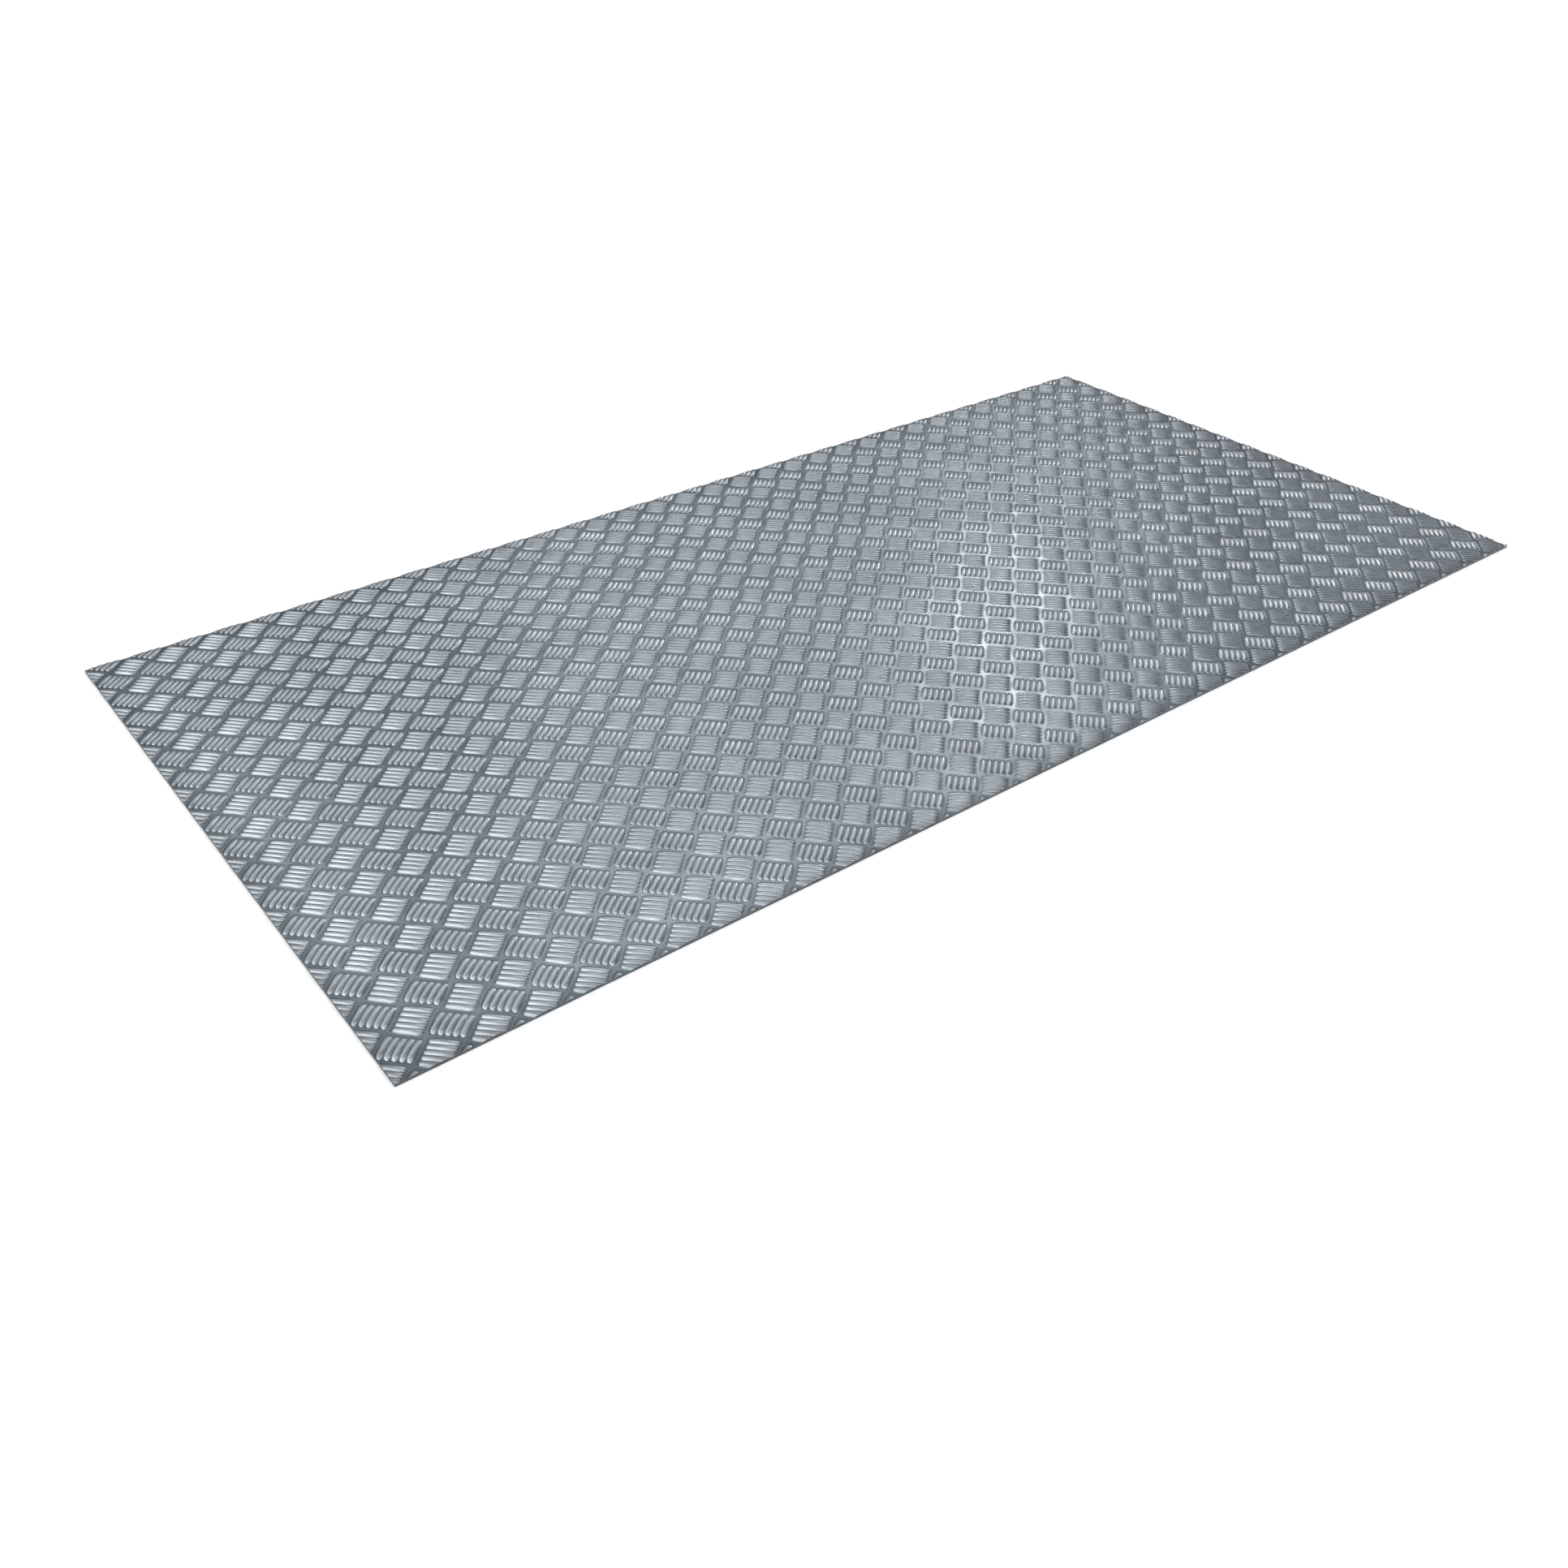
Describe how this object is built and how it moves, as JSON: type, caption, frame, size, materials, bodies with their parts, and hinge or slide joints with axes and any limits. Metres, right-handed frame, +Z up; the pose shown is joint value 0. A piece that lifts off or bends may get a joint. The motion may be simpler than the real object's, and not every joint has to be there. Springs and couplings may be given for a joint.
{
  "type": "checker plate",
  "caption": "Flat rectangular sheet of rolled steel with a raised five-bar tread pattern on its top face and plain sheared edges.",
  "frame": {"origin": "middle of the flat underside, so the sheet lies on z = 0", "axes": "+X along the sheet's length, +Y across its width, +Z up out of the tread face"},
  "size_m": [2, 1, 0.003],
  "materials": {
    "steel": "bare hot-rolled steel, blue-grey mill finish with a soft sheen"
  },
  "bodies": {
    "root": {"checker_plate": "steel"}
  },
  "joints": []
}
